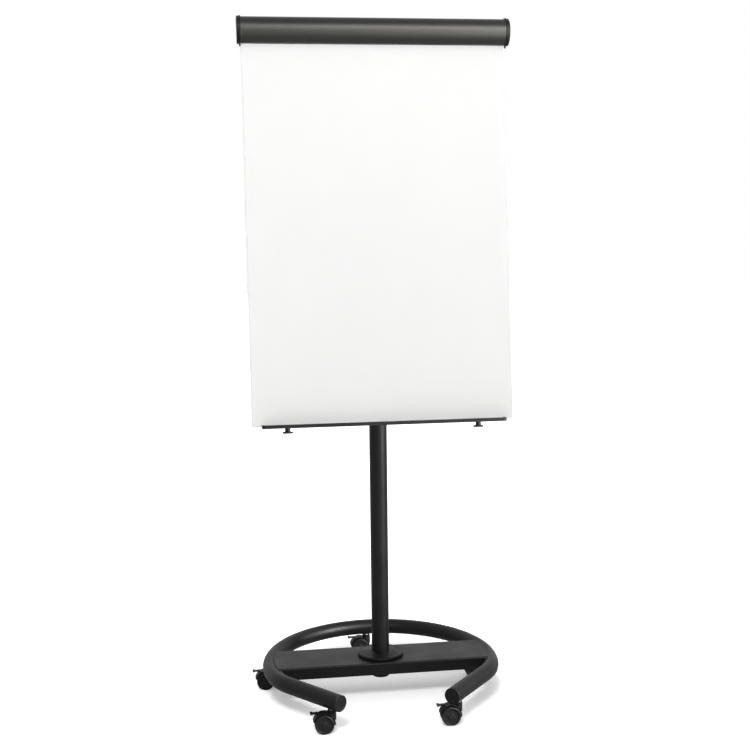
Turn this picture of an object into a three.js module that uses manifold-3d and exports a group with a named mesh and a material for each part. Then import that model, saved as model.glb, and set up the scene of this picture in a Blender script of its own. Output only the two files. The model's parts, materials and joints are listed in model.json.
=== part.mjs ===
// Mobile flip chart easel: a magnetic writing board with a hinged pad clamp and a pen tray, carried by a
// telescopic post on an open tubular ring that rolls on five braked twin-wheel casters.
// Millimetres, +Z up, board facing -Y, origin on the floor at the middle of the base. The pieces are placed
// from the axis of the post, which stands a little ahead of that middle because the ring is open in front.

import * as THREE from 'three';
import { mergeVertices } from 'three/addons/utils/BufferGeometryUtils.js';
import Module from 'manifold-3d';

const wasm = await Module();
wasm.setup();

const { degToRad } = THREE.MathUtils;
const X = new THREE.Vector3(1, 0, 0);
const Y = new THREE.Vector3(0, 1, 0);
const Z = new THREE.Vector3(0, 0, 1);

// ---------------------------------------------------------------- driving dimensions

const GAP = 0.3;                    // clearance between neighbouring pieces
const REST = 0.1;                   // clearance where one piece stands on another
const OVERRUN = 5;                  // how far a cutter reaches past the piece it cuts

// ring base
const RING_RADIUS = 304;            // centreline of the bent tube, round the back and sides
const BEND_RADIUS = 158;            // tighter bend that leads into each straight arm
const BEND_START = degToRad(-14);   // where that bend begins, measured from the +X side
const BEND_END = degToRad(-39.3);
const ARM_LENGTH = 188;
const STEM_FROM_END = 30.5;         // front caster stem, back from the end of its arm
const RING_TUBE_RADIUS = 21.5;
const RING_WALL = 2;
const RING_HEIGHT = 82.5;           // centreline above the floor
const RING_STEPS = 48;
const END_DISC = 2;                 // thickness of the plug that shows at each end of the tube
const ROUND = 8;                    // an arc of a section is drawn with twice this many chords
const BAR_DEPTH = 144;
const BAR_HEIGHT = 34;
const BAR_TOP = 104.5;
const BAR_WALL = 2.5;
const BAR_REACH = 294.5;            // radius to which the ends of the bar are rounded

// post
const POST_RADIUS = 24;
const POST_WALL = 2;
const POST_FOOT = 48;
const POST_TOP = 1000;
const INNER_POST_RADIUS = 20;
const INNER_POST_FOOT = 715;
const INNER_POST_TOP = 1232;
const FLANGE_RADIUS = 63;
const COLLAR_RADIUS = 32;
const COLLAR_BOTTOM = 982;
const COLLAR_TOP = 1034;
const KNOB_AXIS_HEIGHT = 1017;      // axis of the height knob
const KNOB_STUD_RADIUS = 4;
const SPIGOT_RADIUS = 17.6;         // of the turning head, inside the inner post
const TILT_AXIS_HEIGHT = 1281;
const TILT_BOLT_RADIUS = 6;
const HINGE_EYE_RADIUS = 18;        // rounded end of the tongue and of the ears beside it
const TONGUE_HALF = 15;             // half thickness of the tongue

// board, in its own leaning frame: origin on the tilt axis, front towards -Y
const BOARD_LEAN = degToRad(6.6);
const BOARD_WIDTH = 690;
const BOARD_HEIGHT = 1040;
const BOARD_THICKNESS = 16;
const BOARD_FRONT = -61.5;
const BOARD_BACK = BOARD_FRONT + BOARD_THICKNESS;
const TRIM_WALL = 2;
const SHEET = 0.6;                  // steel sheets on the front and back of the core

// pad clamp, in the frame of the board
const RAIL_BOTTOM = 465;            // lower edge of the clamp cover
const RAIL_TOP = 533;
const RAIL_BULGE = 40;              // how far the cover stands ahead of the writing face
const COVER_WALL = 2.2;
const HINGE_Y = -58;
const HINGE_Z = 525;
const HINGE_PIN_RADIUS = 2.5;
const CAP_THICKNESS = 10.5;

// pen tray, in the frame of the board
const TRAY_LENGTH = 638;
const TRAY_REACH = 42;              // ahead of the writing face
const TRAY_BOTTOM = -523;
const TRAY_RIM = 9.5;
const TRAY_WALL = 2.5;
const TRAY_KNOB_X = 252;
const TRAY_STUD_RADIUS = 3;

// casters
const WHEEL_RADIUS = 25;
const WHEEL_TRAIL = 20;             // wheel axle behind the stem
const WEB_HALF = 3.4;               // half thickness of the web between the wheels
const WHEEL_INNER = 4;              // inner and outer side of each wheel, from the middle of the caster
const WHEEL_OUTER = 19;
const HOOD_INNER = 26.4;
const HOOD_OUTER = 29;
const HOOD_HALF = 13;
const HOOD_START = degToRad(-8);    // the hood runs over the wheels from behind to in front
const HOOD_END = degToRad(168);
const AXLE_RADIUS = 3;
const STEM_RADIUS = 5.5;
const STEM_BOTTOM = 49.5;
const CASTER_TOP = RING_HEIGHT - RING_TUBE_RADIUS;

// ---------------------------------------------------------------- materials

function finish(color, roughness, metalness) {
  return new THREE.MeshStandardMaterial({ color, roughness, metalness });
}

const FINISHES = {
  powder: () => finish(0x232224, 0.55, 0.3),
  blackPlastic: () => finish(0x1d1d1f, 0.6, 0),
  tread: () => finish(0x202022, 0.7, 0),
  anodised: () => finish(0x3a3838, 0.42, 0.5),
  enamel: () => finish(0xf7f7f5, 0.22, 0),
  paleTrim: () => finish(0xe2e3e2, 0.5, 0),
  core: () => finish(0xb79a72, 0.85, 0),
  zinc: () => finish(0xb4b7b9, 0.38, 0.9),
  rubber: () => finish(0x161617, 0.9, 0),
};

// ---------------------------------------------------------------- solids

// A closed three.js geometry as a manifold, with shared vertices merged and empty triangles dropped.
function solid(geometry) {
  const bare = geometry.clone();
  for (const name of Object.keys(bare.attributes)) {
    if (name !== 'position') bare.deleteAttribute(name);
  }
  const merged = mergeVertices(bare, 1e-4);
  const index = merged.index.array;
  const triangles = [];
  for (let i = 0; i < index.length; i += 3) {
    const [a, b, c] = [index[i], index[i + 1], index[i + 2]];
    if (a !== b && b !== c && c !== a) triangles.push(a, b, c);
  }
  const vertProperties = new Float32Array(merged.attributes.position.array);
  const triVerts = new Uint32Array(triangles);
  return new wasm.Manifold(new wasm.Mesh({ numProp: 3, vertProperties, triVerts }));
}

function toGeometry(manifold) {
  const { vertProperties, triVerts } = manifold.getMesh();
  const geometry = new THREE.BufferGeometry();
  geometry.setAttribute('position', new THREE.BufferAttribute(new Float32Array(vertProperties), 3));
  geometry.setIndex(new THREE.BufferAttribute(new Uint32Array(triVerts), 1));
  geometry.computeVertexNormals();
  return geometry;
}

function join(first, ...others) {
  return toGeometry(others.reduce((body, other) => body.add(solid(other)), solid(first)));
}

function cut(first, ...cutters) {
  return toGeometry(cutters.reduce((body, cutter) => body.subtract(solid(cutter)), solid(first)));
}

function common(first, second) {
  return toGeometry(solid(first).intersect(solid(second)));
}

// ---------------------------------------------------------------- primitives

// Extrudes a shape drawn in (y, z) along X, from x0 to x1.
function extrudeX(shape, x0, x1, curveSegments = 6) {
  const geometry = new THREE.ExtrudeGeometry(shape, { depth: x1 - x0, bevelEnabled: false, curveSegments });
  return geometry.applyMatrix4(new THREE.Matrix4().makeBasis(Y, Z, X)).translate(x0, 0, 0);
}

// Extrudes a shape drawn in (x, z) along Y, from y0 to y1.
function extrudeY(shape, y0, y1, curveSegments = 6) {
  const geometry = new THREE.ExtrudeGeometry(shape, { depth: y1 - y0, bevelEnabled: false, curveSegments });
  return geometry.applyMatrix4(new THREE.Matrix4().makeBasis(X, Z, Y.clone().negate())).translate(0, y1, 0);
}

// Extrudes a shape drawn in (x, y) along Z, from z0 to z1.
function extrudeZ(shape, z0, z1, curveSegments = 6) {
  const geometry = new THREE.ExtrudeGeometry(shape, { depth: z1 - z0, bevelEnabled: false, curveSegments });
  return geometry.translate(0, 0, z0);
}

// Turns a list of [radius, z] points about Z. The list runs up the outside of the piece.
function turned(points, segments) {
  const profile = points.map(([radius, z]) => new THREE.Vector2(radius, z));
  return new THREE.LatheGeometry(profile, segments).rotateX(Math.PI / 2);
}

function turnedX(points, segments) {
  return turned(points, segments).rotateY(Math.PI / 2);
}

function turnedY(points, segments) {
  return turned(points, segments).rotateX(-Math.PI / 2);
}

// Plain round bars between two places on an axis.
function barZ(radius, z0, z1, segments = 24) {
  return turned([[0, z0], [radius, z0], [radius, z1], [0, z1]], segments);
}

function barX(radius, x0, x1, segments = 16) {
  return turnedX([[0, x0], [radius, x0], [radius, x1], [0, x1]], segments);
}

function barY(radius, y0, y1, segments = 16) {
  return turnedY([[0, y0], [radius, y0], [radius, y1], [0, y1]], segments);
}

// A sleeve about Z with an open bore.
function sleeveZ(outer, inner, z0, z1, segments = 24) {
  return turned([[inner, z0], [outer, z0], [outer, z1], [inner, z1], [inner, z0]], segments);
}

function box(x0, x1, y0, y1, z0, z1) {
  const geometry = new THREE.BoxGeometry(x1 - x0, y1 - y0, z1 - z0);
  return geometry.translate((x0 + x1) / 2, (y0 + y1) / 2, (z0 + z1) / 2);
}

function rectangle(u0, u1, v0, v1) {
  return new THREE.Shape([
    new THREE.Vector2(u0, v0),
    new THREE.Vector2(u1, v0),
    new THREE.Vector2(u1, v1),
    new THREE.Vector2(u0, v1),
  ]);
}

function roundedRectangle(u0, u1, v0, v1, radius) {
  const shape = new THREE.Shape();
  shape.absarc(u1 - radius, v0 + radius, radius, -Math.PI / 2, 0);
  shape.absarc(u1 - radius, v1 - radius, radius, 0, Math.PI / 2);
  shape.absarc(u0 + radius, v1 - radius, radius, Math.PI / 2, Math.PI);
  shape.absarc(u0 + radius, v0 + radius, radius, Math.PI, 1.5 * Math.PI);
  return shape;
}

function mesh(name, geometry, material) {
  const piece = new THREE.Mesh(geometry, material());
  piece.name = name;
  return piece;
}

// ---------------------------------------------------------------- ring base

// The centreline is followed by its run: the distance along it from the middle of the back, negative to
// the left. The right half turns from +Y to the side, through the tighter bend, and on into the arm.
const BACK_RUN = RING_RADIUS * (Math.PI / 2 - BEND_START);
const BEND_RUN = BEND_RADIUS * (BEND_START - BEND_END);
const HALF_RUN = BACK_RUN + BEND_RUN + ARM_LENGTH;
const SIDE_CASTER_RUN = RING_RADIUS * degToRad(76.5);
const CASTER_RUNS = {
  front_left: STEM_FROM_END - HALF_RUN,
  front_right: HALF_RUN - STEM_FROM_END,
  side_left: -SIDE_CASTER_RUN,
  side_right: SIDE_CASTER_RUN,
  rear: 0,
};

function onCircle(radius, angle) {
  return new THREE.Vector3(radius * Math.cos(angle), radius * Math.sin(angle), 0);
}

function ringPoint(run) {
  const distance = Math.abs(run);
  let point;
  if (distance <= BACK_RUN) {
    point = onCircle(RING_RADIUS, Math.PI / 2 - distance / RING_RADIUS);
  } else {
    const bent = Math.min(distance - BACK_RUN, BEND_RUN);
    const straight = distance - BACK_RUN - bent;
    point = onCircle(RING_RADIUS - BEND_RADIUS, BEND_START);
    point.add(onCircle(BEND_RADIUS, BEND_START - bent / BEND_RADIUS));
    point.add(onCircle(straight, BEND_END - Math.PI / 2));
  }
  return run < 0 ? point.setX(-point.x) : point;
}

// The open ring's centreline, from the left end round the back to the right end.
class RingPath extends THREE.Curve {
  getPoint(t, target = new THREE.Vector3()) {
    return target.copy(ringPoint((2 * t - 1) * HALF_RUN)).setZ(RING_HEIGHT);
  }
}

function circle(radius) {
  return new THREE.Shape().absarc(0, 0, radius, 0, 2 * Math.PI);
}

function alongRing(shape) {
  const path = new RingPath();
  const options = { steps: RING_STEPS, extrudePath: path, bevelEnabled: false, curveSegments: ROUND };
  return new THREE.ExtrudeGeometry(shape, options);
}

// Bent tube with a hole in its lower wall for each caster stem.
function ringTube() {
  const section = circle(RING_TUBE_RADIUS);
  section.holes.push(circle(RING_TUBE_RADIUS - RING_WALL));
  const holes = Object.values(CASTER_RUNS).map((run) => {
    const place = ringPoint(run);
    const hole = barZ(STEM_RADIUS + GAP, CASTER_TOP - OVERRUN, CASTER_TOP + 3 * RING_WALL, 12);
    return hole.translate(place.x, place.y, 0);
  });
  return cut(alongRing(section), ...holes);
}

// Flat plug for one end of the ring; side is -1 for the left end and 1 for the right.
function ringCap(side) {
  const reach = 12;
  const plug = RING_TUBE_RADIUS - RING_WALL - 1.1;
  const profile = [
    [0, -reach],
    [plug, -reach],
    [plug, 0],
    [RING_TUBE_RADIUS, 0],
    [RING_TUBE_RADIUS, END_DISC],
    [0, END_DISC],
  ];
  const end = ringPoint(side * HALF_RUN);
  const cap = turned(profile, 24).rotateX(Math.PI / 2).translate(0, -REST, 0);
  return cap.rotateZ(side * BEND_END).translate(end.x, end.y, RING_HEIGHT);
}

// Box-section bar across the ring, saddled onto the tube at both ends, open where the post passes through.
function crossbar() {
  const half = BAR_DEPTH / 2;
  const bottom = BAR_TOP - BAR_HEIGHT;
  const section = roundedRectangle(-half, half, bottom, BAR_TOP, 4);
  section.holes.push(rectangle(-half + BAR_WALL, half - BAR_WALL, bottom + BAR_WALL, BAR_TOP - BAR_WALL));
  const bar = extrudeX(section, -RING_RADIUS, RING_RADIUS, 1);
  const trimmed = common(bar, barZ(BAR_REACH, bottom - OVERRUN, BAR_TOP + OVERRUN, 60));
  const postHole = barZ(POST_RADIUS + 2 * GAP, bottom - OVERRUN, BAR_TOP + OVERRUN);
  return cut(trimmed, alongRing(circle(RING_TUBE_RADIUS + GAP)), postHole);
}

function base() {
  const group = new THREE.Group();
  group.add(
    mesh('base_ring', ringTube(), FINISHES.powder),
    mesh('ring_cap_left', ringCap(-1), FINISHES.blackPlastic),
    mesh('ring_cap_right', ringCap(1), FINISHES.blackPlastic),
    mesh('crossbar', crossbar(), FINISHES.powder),
  );
  return group;
}

// ---------------------------------------------------------------- post

// Dished cover around the foot of the post.
function postFlange() {
  const bore = POST_RADIUS + GAP;
  const bottom = BAR_TOP + REST;
  return turned([
    [bore, bottom],
    [FLANGE_RADIUS - 1.5, bottom],
    [FLANGE_RADIUS, bottom + 1.5],
    [FLANGE_RADIUS, bottom + 7],
    [FLANGE_RADIUS - 5, bottom + 9.5],
    [bore + 3, bottom + 12.5],
    [bore, bottom + 12.5],
    [bore, bottom],
  ], 28);
}

function postBottomCap() {
  const top = POST_FOOT - REST;
  const plug = POST_RADIUS - POST_WALL - 0.6;
  return turned([
    [0, top - 2.5],
    [POST_RADIUS - 1.5, top - 2.5],
    [POST_RADIUS - 0.5, top - 1.5],
    [POST_RADIUS - 0.5, top],
    [plug, top],
    [plug, top + 14],
    [0, top + 14],
  ], 24);
}

// Clamp collar on top of the outer post: wide below, necked in above, with a boss for the knob.
function heightCollar() {
  const neck = INNER_POST_RADIUS + 6;
  const body = turned([
    [0, COLLAR_BOTTOM],
    [COLLAR_RADIUS - 3, COLLAR_BOTTOM],
    [COLLAR_RADIUS, COLLAR_BOTTOM + 4],
    [COLLAR_RADIUS, COLLAR_TOP - 12],
    [neck, COLLAR_TOP],
    [0, COLLAR_TOP],
  ], 24);
  const boss = barY(11, 0, COLLAR_RADIUS + 8, 16).translate(0, 0, KNOB_AXIS_HEIGHT);
  const socket = barZ(POST_RADIUS + GAP, COLLAR_BOTTOM - OVERRUN, POST_TOP + GAP);
  const bore = barZ(INNER_POST_RADIUS + GAP, COLLAR_BOTTOM - OVERRUN, COLLAR_TOP + OVERRUN);
  const thread = barY(KNOB_STUD_RADIUS + GAP, 0, COLLAR_RADIUS + 2 * OVERRUN, 12);
  thread.translate(0, 0, KNOB_AXIS_HEIGHT);
  return cut(join(body, boss), socket, bore, thread);
}

// Lobed hand knob on a threaded stud, along +Y.
function heightKnob() {
  const lobes = 6;
  const grip = new THREE.Shape(Array.from({ length: 6 * lobes }, (_, i) => {
    const turn = (i / (6 * lobes)) * 2 * Math.PI;
    const radius = 18.5 + 1.8 * Math.cos(lobes * turn);
    return new THREE.Vector2(radius * Math.cos(turn), radius * Math.sin(turn));
  }));
  const seat = COLLAR_RADIUS + 8.5;
  const hub = barY(10, seat, seat + 6, 16);
  const stud = barY(KNOB_STUD_RADIUS, INNER_POST_RADIUS + GAP, seat + 3, 12);
  return join(extrudeY(grip, seat + 5, seat + 19), hub, stud).translate(0, 0, KNOB_AXIS_HEIGHT);
}

function guideBush() {
  const top = INNER_POST_FOOT - REST;
  const slide = POST_RADIUS - POST_WALL - 0.5;
  const plug = INNER_POST_RADIUS - POST_WALL - 0.4;
  const bore = 10;
  return turned([
    [bore, top - 8],
    [slide, top - 8],
    [slide, top],
    [plug, top],
    [plug, top + 26],
    [bore, top + 26],
    [bore, top - 8],
  ], 24);
}

// Turning head: spigot in the inner post, round shoulder, and a tongue bored for the tilt shaft.
function swivelHead() {
  const tongue = new THREE.Shape();
  tongue.moveTo(-HINGE_EYE_RADIUS, INNER_POST_TOP + 10);
  tongue.lineTo(HINGE_EYE_RADIUS, INNER_POST_TOP + 10);
  tongue.lineTo(HINGE_EYE_RADIUS, TILT_AXIS_HEIGHT);
  tongue.absarc(0, TILT_AXIS_HEIGHT, HINGE_EYE_RADIUS, 0, Math.PI);
  const shoulder = turned([
    [0, INNER_POST_TOP - 32],
    [SPIGOT_RADIUS, INNER_POST_TOP - 32],
    [SPIGOT_RADIUS, INNER_POST_TOP + REST],
    [21, INNER_POST_TOP + REST],
    [22, INNER_POST_TOP + 1.5],
    [22, INNER_POST_TOP + 15],
    [20, INNER_POST_TOP + 18],
    [0, INNER_POST_TOP + 18],
  ], 24);
  const bore = barX(TILT_BOLT_RADIUS + 2 * GAP, -20, 20).translate(0, 0, TILT_AXIS_HEIGHT);
  return cut(join(shoulder, extrudeX(tongue, -TONGUE_HALF, TONGUE_HALF, 5)), bore);
}

function post() {
  const group = new THREE.Group();
  group.add(
    mesh('post_flange', postFlange(), FINISHES.blackPlastic),
    mesh('outer_post', sleeveZ(POST_RADIUS, POST_RADIUS - POST_WALL, POST_FOOT, POST_TOP), FINISHES.powder),
    mesh('post_bottom_cap', postBottomCap(), FINISHES.blackPlastic),
    mesh('height_collar', heightCollar(), FINISHES.blackPlastic),
    mesh('height_knob', heightKnob(), FINISHES.blackPlastic),
    mesh(
      'inner_post',
      sleeveZ(INNER_POST_RADIUS, INNER_POST_RADIUS - POST_WALL, INNER_POST_FOOT, INNER_POST_TOP),
      FINISHES.powder,
    ),
    mesh('guide_bush', guideBush(), FINISHES.blackPlastic),
    mesh('swivel_head', swivelHead(), FINISHES.powder),
  );
  return group;
}

// ---------------------------------------------------------------- tilt hinge, in the frame of the board

const EAR_INNER = 16.5;
const EAR_OUTER = 20;

// Steel plate behind the board with two ears that reach back to the tilt axis.
function boardBracket() {
  const back = BOARD_BACK + GAP;
  const plate = extrudeY(roundedRectangle(-80, 80, -110, 110, 12), back, back + 3, 2);
  const ear = new THREE.Shape();
  ear.moveTo(back + 1, -40);
  ear.absarc(0, 0, HINGE_EYE_RADIUS, degToRad(-62), degToRad(62));
  ear.lineTo(back + 1, 40);
  const left = extrudeX(ear, -EAR_OUTER, -EAR_INNER, 5);
  const right = extrudeX(ear, EAR_INNER, EAR_OUTER, 5);
  return cut(join(plate, left, right), barX(TILT_BOLT_RADIUS + GAP, -2 * EAR_OUTER, 2 * EAR_OUTER));
}

// Bolt through the ears and the tongue, with a hexagon head on the left.
function tiltShaft() {
  const seat = -EAR_OUTER - GAP;
  const head = turnedX([[0, -28], [10.5, -28], [10.5, seat], [0, seat]], 6);
  return join(head, barX(TILT_BOLT_RADIUS, -EAR_OUTER - OVERRUN, 34));
}

// Clamping lever: a hub on the end of the bolt and a tapered arm that hangs down and slightly back.
function tiltLever() {
  const hub = turnedX([[0, 20.5], [10, 20.5], [12, 23], [12, 38], [10, 40], [0, 40]], 16);
  const arm = turned([[0, -74], [4.5, -74], [6.5, -71], [6.5, -66], [4.2, 0], [0, 0]], 10);
  arm.translate(32, 0, 0).rotateX(degToRad(18));
  return cut(join(hub, arm), barX(TILT_BOLT_RADIUS + GAP, 10, 35));
}

function washer(side) {
  const inner = TONGUE_HALF + GAP;
  const outer = EAR_INNER - GAP;
  const bore = TILT_BOLT_RADIUS + 0.5;
  const rim = HINGE_EYE_RADIUS - 1;
  const points = [[bore, inner], [rim, inner], [rim, outer], [bore, outer], [bore, inner]];
  return side > 0 ? turnedX(points, 16) : turnedX(points, 16).rotateZ(Math.PI);
}

// ---------------------------------------------------------------- board, in its own frame

const CORE_HALF_WIDTH = BOARD_WIDTH / 2 - TRIM_WALL - GAP;
const CORE_HALF_HEIGHT = BOARD_HEIGHT / 2 - TRIM_WALL - GAP;
const STUD_Y = (BOARD_FRONT + BOARD_BACK) / 2;
const FACE_TOP = RAIL_BOTTOM + 3;

// Holes for the studs of the tray knobs, up into the lower edge of the board.
function studHoles() {
  return [-TRAY_KNOB_X, TRAY_KNOB_X].map((x) => (
    barZ(TRAY_STUD_RADIUS + 2 * GAP, TRAY_BOTTOM - OVERRUN, TRAY_BOTTOM + 28, 12).translate(x, STUD_Y, 0)
  ));
}

function edgeTrim() {
  const outline = rectangle(-BOARD_WIDTH / 2, BOARD_WIDTH / 2, -BOARD_HEIGHT / 2, BOARD_HEIGHT / 2);
  const inside = new THREE.Path(rectangle(
    -BOARD_WIDTH / 2 + TRIM_WALL,
    BOARD_WIDTH / 2 - TRIM_WALL,
    -BOARD_HEIGHT / 2 + TRIM_WALL,
    BOARD_HEIGHT / 2 - TRIM_WALL,
  ).getPoints());
  outline.holes.push(inside);
  return cut(extrudeY(outline, BOARD_FRONT, BOARD_BACK), ...studHoles());
}

function boardPanel() {
  const w = CORE_HALF_WIDTH;
  const h = CORE_HALF_HEIGHT;
  const coreFront = BOARD_FRONT + SHEET + GAP;
  const coreBack = BOARD_BACK - SHEET - GAP;
  const core = cut(box(-w, w, coreFront, coreBack, -h, h), ...studHoles());
  const face = box(-w, w, BOARD_FRONT, BOARD_FRONT + SHEET, -h, FACE_TOP);
  const back = box(-w, w, BOARD_BACK - SHEET, BOARD_BACK, -h, h);
  return [
    mesh('board_face', face, FINISHES.enamel),
    mesh('board_core', core, FINISHES.core),
    mesh('board_back', back, FINISHES.zinc),
    mesh('board_edge_trim', edgeTrim(), FINISHES.paleTrim),
  ];
}

// ---------------------------------------------------------------- pad clamp, in the frame of the board

const COVER_FRONT = BOARD_FRONT - RAIL_BULGE;
const UPPER_ARC = 33;
const BULGE_Z = RAIL_TOP - UPPER_ARC;
const LIP_Y = BOARD_FRONT - 16;
const LIP_END_Y = BOARD_FRONT - 5.5;
// The lower arc starts level with the widest point and runs down to the outer corner of the lip.
const LOWER_DROP = BULGE_Z - RAIL_BOTTOM;
const LOWER_RUN = LIP_Y - COVER_FRONT;
const LOWER_ARC = (LOWER_RUN ** 2 + LOWER_DROP ** 2) / (2 * LOWER_RUN);

// Half-round shell, open at the back, with a lip turned in at the bottom.
function coverShape() {
  const upperY = COVER_FRONT + UPPER_ARC;
  const lowerY = COVER_FRONT + LOWER_ARC;
  const rear = HINGE_Y - 2;
  const inner = LOWER_ARC - COVER_WALL;
  const lowEnd = Math.PI + Math.asin(LOWER_DROP / LOWER_ARC);
  const lowEndInner = Math.PI + Math.asin((LOWER_DROP - COVER_WALL) / inner);
  const shape = new THREE.Shape();
  shape.moveTo(LIP_END_Y, RAIL_BOTTOM);
  shape.lineTo(LIP_END_Y, RAIL_BOTTOM + COVER_WALL);
  shape.absarc(lowerY, BULGE_Z, inner, lowEndInner, Math.PI, true);
  shape.absarc(upperY, BULGE_Z, UPPER_ARC - COVER_WALL, Math.PI, Math.PI / 2, true);
  shape.lineTo(rear, RAIL_TOP - COVER_WALL);
  shape.lineTo(rear, RAIL_TOP);
  shape.absarc(upperY, BULGE_Z, UPPER_ARC, Math.PI / 2, Math.PI);
  shape.absarc(lowerY, BULGE_Z, LOWER_ARC, Math.PI, lowEnd);
  return shape;
}

// Outline of an end cap: the cover's outside grown by a margin, rounded behind the hinge pin.
function capShape(margin, nub) {
  const lowerY = COVER_FRONT + LOWER_ARC;
  const radius = LOWER_ARC + margin;
  const bottom = RAIL_BOTTOM - margin;
  const pinRadius = RAIL_TOP + margin - HINGE_Z;
  const shape = new THREE.Shape();
  shape.moveTo(LIP_END_Y - nub, bottom - nub);
  shape.lineTo(LIP_END_Y, bottom - nub);
  shape.absarc(HINGE_Y, HINGE_Z, pinRadius, 0, Math.PI / 2);
  shape.absarc(COVER_FRONT + UPPER_ARC, BULGE_Z, UPPER_ARC + margin, Math.PI / 2, Math.PI);
  shape.absarc(lowerY, BULGE_Z, radius, Math.PI, Math.PI + Math.asin((BULGE_Z - bottom) / radius));
  shape.lineTo(LIP_END_Y - nub, bottom);
  return shape;
}

// End cap of the cover: a proud flange with a nub below, then a plate with a softened rim.
function clampCap(side) {
  const start = BOARD_WIDTH / 2 + GAP;
  const flangeThickness = 4.5;
  const soft = 2.5;
  const flange = extrudeX(capShape(2.5, 5), start, start + flangeThickness, 3);
  const plate = new THREE.ExtrudeGeometry(capShape(1, 0), {
    depth: CAP_THICKNESS - flangeThickness - soft,
    bevelThickness: soft,
    bevelSize: soft,
    bevelOffset: -soft,
    bevelSegments: 1,
    curveSegments: 3,
  });
  plate.applyMatrix4(new THREE.Matrix4().makeBasis(Y, Z, X)).translate(start + flangeThickness, 0, 0);
  const bore = barX(HINGE_PIN_RADIUS + 2 * GAP, start - OVERRUN, start + CAP_THICKNESS - 3, 12);
  bore.translate(0, HINGE_Y, HINGE_Z);
  const cap = cut(join(flange, plate), bore);
  return side > 0 ? cap : mirrored(cap);
}

function mirrored(geometry) {
  const flipped = geometry.clone().applyMatrix4(new THREE.Matrix4().makeScale(-1, 1, 1));
  const index = flipped.index.array;
  for (let i = 0; i < index.length; i += 3) {
    [index[i], index[i + 1]] = [index[i + 1], index[i]];
  }
  return flipped;
}

// Fixed rail over the top edge of the board: front plate with a track for the pad hooks, top web with a
// port for the hinge pins, and a rear flange.
const RAIL_FACE = BOARD_FRONT - GAP;
const RAIL_PLATE = RAIL_FACE - 2.5;
const TRACK_LOW = 478;
const TRACK_HIGH = 502;
const TRACK_LIP = 2.5;
const TRACK_DEPTH = 4;

function clampRail() {
  const x = BOARD_WIDTH / 2;
  const boardTop = BOARD_HEIGHT / 2 + GAP;
  const webTop = boardTop + 3;
  const rearInner = BOARD_BACK + GAP;
  const rearOuter = rearInner + 3;
  const channel = new THREE.Shape([
    [RAIL_FACE, TRACK_LOW - 8],
    [RAIL_FACE, boardTop],
    [rearInner, boardTop],
    [rearInner, boardTop - 26],
    [rearOuter, boardTop - 26],
    [rearOuter, webTop],
    [RAIL_PLATE, webTop],
    [RAIL_PLATE, TRACK_LOW - 8],
  ].map(([y, z]) => new THREE.Vector2(y, z)));
  const trackLip = (edge, inward) => new THREE.Shape([
    [RAIL_PLATE + 1, edge],
    [RAIL_PLATE - TRACK_DEPTH - TRACK_LIP, edge],
    [RAIL_PLATE - TRACK_DEPTH - TRACK_LIP, edge + 5 * inward],
    [RAIL_PLATE - TRACK_DEPTH, edge + 5 * inward],
    [RAIL_PLATE - TRACK_DEPTH, edge + TRACK_LIP * inward],
    [RAIL_PLATE + 1, edge + TRACK_LIP * inward],
  ].map(([y, z]) => new THREE.Vector2(y, z)));
  const port = barX(4.4, -x, x, 16).translate(0, HINGE_Y, HINGE_Z);
  const bore = barX(HINGE_PIN_RADIUS + GAP, -x - OVERRUN, x + OVERRUN, 12).translate(0, HINGE_Y, HINGE_Z);
  const rail = join(
    extrudeX(channel, -x, x),
    extrudeX(trackLip(TRACK_LOW, 1), -x, x),
    extrudeX(trackLip(TRACK_HIGH, -1), -x, x),
    port,
  );
  return cut(rail, bore);
}

function clampPin(side) {
  const inner = BOARD_WIDTH / 2 - 30;
  const outer = BOARD_WIDTH / 2 + CAP_THICKNESS - 4;
  const tip = HINGE_PIN_RADIUS - 0.6;
  const pin = turnedX([
    [0, inner],
    [tip, inner],
    [HINGE_PIN_RADIUS, inner + 1],
    [HINGE_PIN_RADIUS, outer - 1],
    [tip, outer],
    [0, outer],
  ], 12);
  return (side > 0 ? pin : pin.rotateZ(Math.PI)).translate(0, HINGE_Y, HINGE_Z);
}

// Rubber strip on the inside of the cover's lip, which presses on the pad.
function gripStrip() {
  const x = BOARD_WIDTH / 2 - 5;
  return extrudeX(rectangle(LIP_END_Y + GAP, BOARD_FRONT - 3, RAIL_BOTTOM + GAP, RAIL_BOTTOM + 4.5), -x, x);
}

// Hook for a punched pad: a foot that slides in the track, a neck, a front block and a round peg.
function padHook() {
  const middle = (TRACK_LOW + TRACK_HIGH) / 2;
  const trackBack = RAIL_PLATE - 0.4;
  const trackFront = RAIL_PLATE - TRACK_DEPTH + 0.4;
  const lipFront = RAIL_PLATE - TRACK_DEPTH - TRACK_LIP;
  const footHalf = (TRACK_HIGH - TRACK_LOW) / 2 - TRACK_LIP - 0.5;
  const foot = box(-16, 16, trackFront, trackBack, middle - footHalf, middle + footHalf);
  const neck = box(-12, 12, lipFront - 1, trackFront + 1, middle - 6, middle + 6);
  const front = roundedRectangle(-14, 14, middle - 11, middle + 11, 4);
  const block = extrudeY(front, lipFront - 4, lipFront - 0.4, 1);
  const peg = turnedY([
    [0, lipFront - 17],
    [2.4, lipFront - 17],
    [3, lipFront - 15.5],
    [3, lipFront - 2],
    [0, lipFront - 2],
  ], 12);
  return join(foot, neck, block, peg.translate(0, 0, middle));
}

const HOOK_X = 228;

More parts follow.
